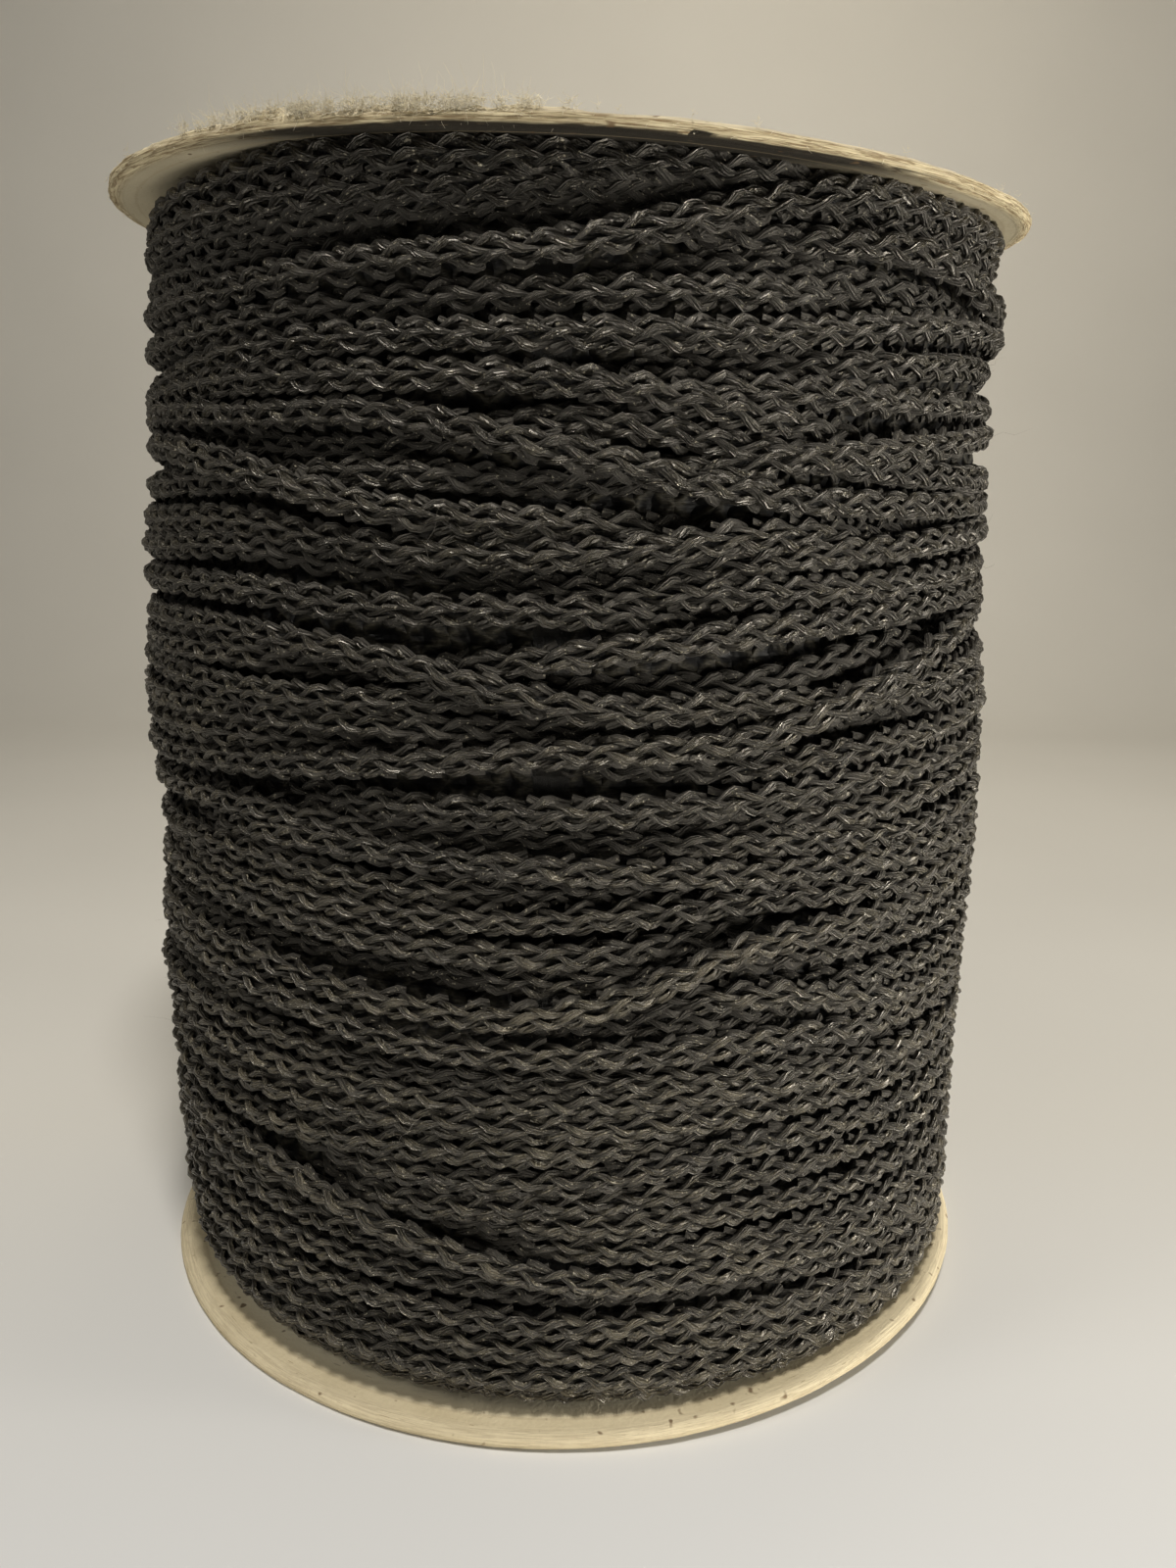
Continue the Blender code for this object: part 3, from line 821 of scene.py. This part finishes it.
def ring_noise(angle, cycles, seed):
    """A random wave round a rim, about -1 to 1, whose finest ripples number the given cycles."""
    values = np.random.default_rng(seed).uniform(-1.0, 1.0, (3, 2 * cycles))
    total = 0.0
    for octave, share in enumerate((0.5, 0.3, 0.2)):
        count = max(4, int(2 * cycles / 3**(2 - octave)))
        at = angle / (2.0 * math.pi) * count
        low = np.floor(at).astype(int)
        mix = smooth(at - low)
        line = values[octave]
        total = total + 2.0 * share * ((1.0 - mix) * line[low % count] + mix * line[(low + 1) % count])
    return total


def torn_share(azimuth):
    """How torn the top board's upper edge is: most at the front's left."""
    offset = np.mod(azimuth + 180.0, 360.0) - 180.0
    return smooth((offset + 40.0) / 8.0) * smooth((4.0 - offset) / 22.0)


def add_board(name, node, underside, thickness, material, rim, rough, torn, seed):
    """A board whose rim follows (inset, share of its thickness) pairs, upward, and is worn in layers."""
    azimuth = np.arange(-180.0, 180.0, 0.5)
    angle = np.radians(azimuth)
    faces = (0.0005, 0.3, 0.6, 0.75, 0.85, 0.92)
    rings = []
    wear = []

    def ring(radius, z, worn):
        rings.append(round_the_spool(angle, radius, z))
        wear.append(np.full(len(angle), worn))

    for share in faces:
        radius = np.full(len(angle), share * FLANGE_RADIUS)
        ring(radius, underside(azimuth, radius), 0.0)
    for step, (inset, share) in enumerate(rim):
        loose = 0.0 if step in (0, len(rim) - 1) else rough
        chips = np.clip(ring_noise(angle, CHIP_RIPPLES, seed + 20 + step), 0.0, 1.0)
        ragged = 0.45 * ring_noise(angle, RAGGED_RIPPLES, seed + step) - chips
        rise = 0.35 * ring_noise(angle, LAYER_RIPPLES, seed + 40 + step)
        radius = FLANGE_RADIUS - RIM_ROOM - inset + loose * ragged
        z = underside(azimuth, FLANGE_RADIUS - inset) + share * thickness
        if share > 0.5 and loose:
            lumps = np.clip(ring_noise(angle, LUMP_RIPPLES, seed + 80), -0.15, 1.0)
            lumps = lumps + 0.3 * ring_noise(angle, TORN_RIPPLES, seed + 81 + step)
            z = z + torn * torn_share(azimuth) * (0.2 + 2.1 * lumps) * (share - 0.5) * 2.0
        ring(np.minimum(radius, FLANGE_RADIUS - 0.02), z + loose * rise, min(1.0, 4.0 * loose))
    for share in reversed(faces):
        radius = np.full(len(angle), share * FLANGE_RADIUS)
        ring(radius, underside(azimuth, radius) + thickness, 0.0)
    points = np.array(rings)
    quads = ring_quads(*points.shape[:2])
    tone = np.array(wear).ravel()

    # Distance along the section from the middle of the rim. Rises count twice, so that the thin
    # layers in the rim spread out.
    section = points.mean(axis=1) + points[:, 0]
    steps = np.linalg.norm(np.diff(section, axis=0), axis=1)
    along = np.concatenate([[0.0], np.cumsum(steps)])
    along = along - 0.5 * along[-1]
    run = np.radians(np.append(azimuth, 180.0)) * FLANGE_RADIUS
    low = np.meshgrid(along[:-1], run[:-1], indexing="ij")
    high = np.meshgrid(along[1:], run[1:], indexing="ij")
    corners = ((low[1], low[0]), (high[1], low[0]), (high[1], high[0]), (low[1], high[0]))
    uv = np.stack([np.stack(corner, -1) for corner in corners], 2).reshape(-1, 2)
    piece = mesh_piece(name, points.reshape(-1, 3) * MM, quads, material, uv, tone=tone)
    dress(piece, node)


def strands(starts, directions, lengths, radius, curl):
    """Thin tapering three-sided hairs, each a gentle random curve."""
    radius = np.broadcast_to(radius, len(starts))[:, None, None]
    count = len(starts)
    steps = 5
    t = np.linspace(0.0, 1.0, steps)[None, :, None]
    bend = RANDOM.normal(0.0, 1.0, (count, 1, 3)) * curl * lengths[:, None, None]
    wave = RANDOM.normal(0.0, 1.0, (count, 1, 3)) * 0.35 * curl * lengths[:, None, None]
    line = starts[:, None] + directions[:, None] * lengths[:, None, None] * t + bend * t**2
    line = line + wave * np.sin(3.0 * math.pi * t) * t
    side = np.cross(directions, RANDOM.normal(0.0, 1.0, (count, 3)))
    side = side / np.linalg.norm(side, axis=1, keepdims=True)
    other = np.cross(directions, side)
    corners = []
    for corner in range(3):
        turn = 2.0 * math.pi * corner / 3.0
        reach = math.cos(turn) * side[:, None] + math.sin(turn) * other[:, None]
        corners.append(line + reach * radius * (1.0 - 0.75 * t))
    points = np.stack(corners, 2)
    index = np.arange(count * steps * 3).reshape(count, steps, 3)
    after = np.roll(index, -1, axis=2)
    quads = np.stack([index[:, :-1], after[:, :-1], after[:, 1:], index[:, 1:]], -1).reshape(-1, 4)
    return points.reshape(-1, 3) * MM, quads


def plain_material(name, colour, roughness):
    n = Nodes(name)
    where = n.add("ShaderNodeTexCoord").outputs["Object"]
    grain = n.noise(where, 900.0, 2.0, 0.5)
    tint = n.mix(n.ramp(grain, 0.3, 0.7), tuple(0.8 * c for c in colour), colour)
    return n.finish(tint, n.ramp(grain, 0.3, 0.7, roughness, 0.8 * roughness), grain, 0.2, 0.00005)


def unit(vectors):
    return vectors / np.linalg.norm(vectors, axis=1, keepdims=True)


def add_board_fibres():
    """Pulp fibres: tufts torn up along the top board's edge, and single ones elsewhere."""
    torn = 90
    single = 180
    tufts = RANDOM.triangular(-44.0, -18.0, 2.0, torn)
    tufts = np.concatenate([tufts, RANDOM.uniform(-80.0, 280.0, 40)])
    sizes = np.where(np.arange(len(tufts)) < torn, RANDOM.uniform(0.4, 1.25, len(tufts)), 0.35)
    members = np.concatenate([np.full(int(34 * size), k) for k, size in enumerate(sizes)])
    azimuth = tufts[members] + RANDOM.normal(0.0, 0.38, len(members)) * sizes[members]
    azimuth = np.concatenate([azimuth, RANDOM.uniform(-180.0, 180.0, single)])
    size = np.concatenate([sizes[members], np.full(single, 0.5)])
    tufted = np.arange(len(azimuth)) < len(members)
    angle = np.radians(azimuth)
    in_tuft = RANDOM.uniform(0.7, 1.5, len(angle))
    share = np.where(tufted, in_tuft, RANDOM.uniform(0.1, 1.0, len(angle)))
    radius = FLANGE_RADIUS - RANDOM.uniform(0.1, 1.2, len(angle)) * np.where(tufted, 1.0, 0.3)
    z = top_underside(azimuth, radius) + share * TOP_BOARD
    starts = round_the_spool(angle, radius, z)
    outward = round_the_spool(angle, 0.35, 0.5 * tufted)
    sideways = RANDOM.normal(0.0, 0.8, len(angle))
    along = np.stack([np.cos(angle), np.sin(angle), np.zeros(len(angle))], -1) * sideways[:, None]
    directions = unit(outward + along + RANDOM.normal(0.0, 0.3, (len(angle), 3)))
    lengths = RANDOM.uniform(0.3, 1.0, len(angle)) * size
    thick = RANDOM.uniform(0.03, 0.055, len(angle))
    points, quads = strands(starts, directions, lengths, thick, 1.2)
    fibre = plain_material("board_fibre", (0.92, 0.84, 0.64), 0.8)
    dress(mesh_piece("board_fibres", points, quads, fibre), "flange_top")


def add_cord_fuzz(paths):
    """Broken filaments that stand off the cord, and a few long stray hairs."""
    count = 1100
    hairs = 26
    longest = 8.0
    picks = RANDOM.integers(0, len(paths), count)
    azimuth = RANDOM.uniform(TURN_START, TURN_END, count)
    around_cord = RANDOM.uniform(-75.0, 75.0, count)
    starts = np.zeros((count, 3))
    for k in range(count):
        starts[k] = place(paths[picks[k]], azimuth[k], around_cord[k], -0.35) / MM
    deep = np.linalg.norm(starts[:, :2], axis=1) < 71.0
    starts, azimuth = starts[~deep], azimuth[~deep]
    angle = np.radians(azimuth)
    level = np.zeros(len(angle))
    outward = round_the_spool(angle, 1.0, level)
    along = np.stack([np.cos(angle), np.sin(angle), level], -1)
    sideways = RANDOM.normal(0.0, 0.8, (len(angle), 1)) * along
    directions = unit(0.45 * outward + sideways + RANDOM.normal(0.0, 0.35, (len(angle), 3)))
    lengths = RANDOM.exponential(0.7, len(angle)) + 0.4
    lengths[:hairs] = RANDOM.uniform(3.0, longest, hairs)
    points, quads = strands(starts, directions, np.minimum(lengths, longest), 0.028, 0.30)
    hair = plain_material("stray_filament", (0.30, 0.275, 0.235), 0.5)
    dress(mesh_piece("stray_filaments", points, quads, hair), "winding")


# Stage and lights, in metres. Lights: name, place, aim, width of the disc, power in watts, colour
STAGE_SIDE = 3.0
STAGE_FRONT = -1.6
STAGE_DEPTH = 0.55
STAGE_BEND = 0.35
STAGE_TOP = 1.6
LIGHTS = (
    ("overhead", (0.04, -0.33, 0.77), (0.0, -0.03, 0.05), 0.13, 3.8, (1.0, 0.96, 0.90)),
    ("above_left", (-0.48, -0.26, 0.50), (0.0, 0.0, 0.06), 0.20, 0.7, (1.0, 0.95, 0.86)),
    ("from_right", (0.62, -0.15, 0.055), (0.0, 0.0, 0.06), 0.14, 3.1, (1.0, 0.95, 0.86)),
    ("from_below", (0.10, -0.27, 0.03), (0.0, 0.0, 0.02), 0.10, 0.22, (1.0, 0.95, 0.86)),
    ("on_backdrop", (0.14, 0.30, 0.72), (0.20, 0.85, 0.20), 0.4, 1.45, (1.0, 0.88, 0.68)),
)


def area_light(name, place_at, aim, size, power, colour):
    data = bpy.data.lights.new(name, "AREA")
    data.shape = "DISK"
    data.size = size
    data.energy = power
    data.color = colour
    light = bpy.data.objects.new(name, data)
    light.location = place_at
    light.rotation_euler = (Vector(aim) - Vector(place_at)).to_track_quat("-Z", "Y").to_euler()
    light.visible_camera = False
    bpy.context.scene.collection.objects.link(light)


def add_lights():
    bpy.context.scene.view_settings.view_transform = "Standard"
    world = bpy.data.worlds.new("studio")
    world.use_nodes = True
    background = world.node_tree.nodes["Background"]
    background.inputs["Color"].default_value = (0.84, 0.80, 0.70, 1.0)
    background.inputs["Strength"].default_value = 0.07
    bpy.context.scene.world = world
    for values in LIGHTS:
        area_light(*values)


def floor_material():
    """Plain pale surface, with painted light: a cooler tint near the camera and a warmer one towards the
    backdrop.
    """
    n = Nodes("pale_floor")
    where = n.add("ShaderNodeTexCoord").outputs["Object"]
    faint = n.noise(where, 6.0, 2.0, 0.5)
    depth_in = n.add("ShaderNodeSeparateXYZ", {0: where}).outputs[1]
    near = n.mix(n.ramp(faint, 0.3, 0.7), (0.75, 0.765, 0.785), (0.77, 0.785, 0.805))
    far = n.mix(n.ramp(faint, 0.3, 0.7), (0.75, 0.735, 0.69), (0.78, 0.765, 0.72))
    # Painted light: the tint stands for the colour of the light falling near and far.
    colour = n.mix(n.ramp(depth_in, -0.14, 0.02), near, far)
    return n.finish(colour, n.ramp(faint, 0.3, 0.7, 0.7, 0.8), faint, 0.05, 0.001)


def add_stage():
    """A floor that bends up into a backdrop."""
    profile = [(STAGE_FRONT, 0.0), (STAGE_DEPTH, 0.0)]
    for a in np.linspace(0.1, 1.5708, 12):
        profile.append((STAGE_DEPTH + STAGE_BEND * math.sin(a), STAGE_BEND * (1 - math.cos(a))))
    profile.append((STAGE_DEPTH + STAGE_BEND, STAGE_TOP))
    points = np.array([(x, y, z) for y, z in profile for x in (-STAGE_SIDE, STAGE_SIDE)])
    rows = np.arange(0, 2 * len(profile) - 2, 2)
    quads = np.stack([rows, rows + 1, rows + 3, rows + 2], -1)
    mesh_piece("floor_and_backdrop", points, quads, floor_material())


def add_camera():
    forward = Vector((
        math.sin(CAMERA_YAW) * math.cos(CAMERA_PITCH),
        math.cos(CAMERA_YAW) * math.cos(CAMERA_PITCH),
        math.sin(CAMERA_PITCH),
    ))
    level = Vector((math.cos(CAMERA_YAW), -math.sin(CAMERA_YAW), 0.0))
    upright = level.cross(forward)
    right = math.cos(CAMERA_ROLL) * level + math.sin(CAMERA_ROLL) * upright
    up = -math.sin(CAMERA_ROLL) * level + math.cos(CAMERA_ROLL) * upright
    data = bpy.data.cameras.new("camera")
    data.lens = CAMERA_LENS
    data.sensor_width = CAMERA_SENSOR
    data.sensor_fit = "AUTO"
    data.clip_start = 0.01
    camera = bpy.data.objects.new("camera", data)
    turn = Matrix((right, up, -forward)).transposed().to_4x4()
    stand = Vector((0.0, -CAMERA_DISTANCE * MM, CAMERA_HEIGHT * MM))
    camera.matrix_world = Matrix.Translation(stand) @ turn
    bpy.context.scene.collection.objects.link(camera)
    bpy.context.scene.camera = camera


add_camera()
add_lights()
add_stage()
add_cord()
BOARD = board_material()
add_board(
    "top_board", "flange_top", top_underside, TOP_BOARD, BOARD, TOP_RIM,
    rough=TOP_RIM_ROUGHNESS, torn=1.0, seed=100,
)
add_board(
    "bottom_board", "flange_bottom", bottom_underside, BOTTOM_BOARD, BOARD, BOTTOM_RIM,
    rough=BOTTOM_RIM_ROUGHNESS, torn=0.0, seed=300,
)
add_board_fibres()
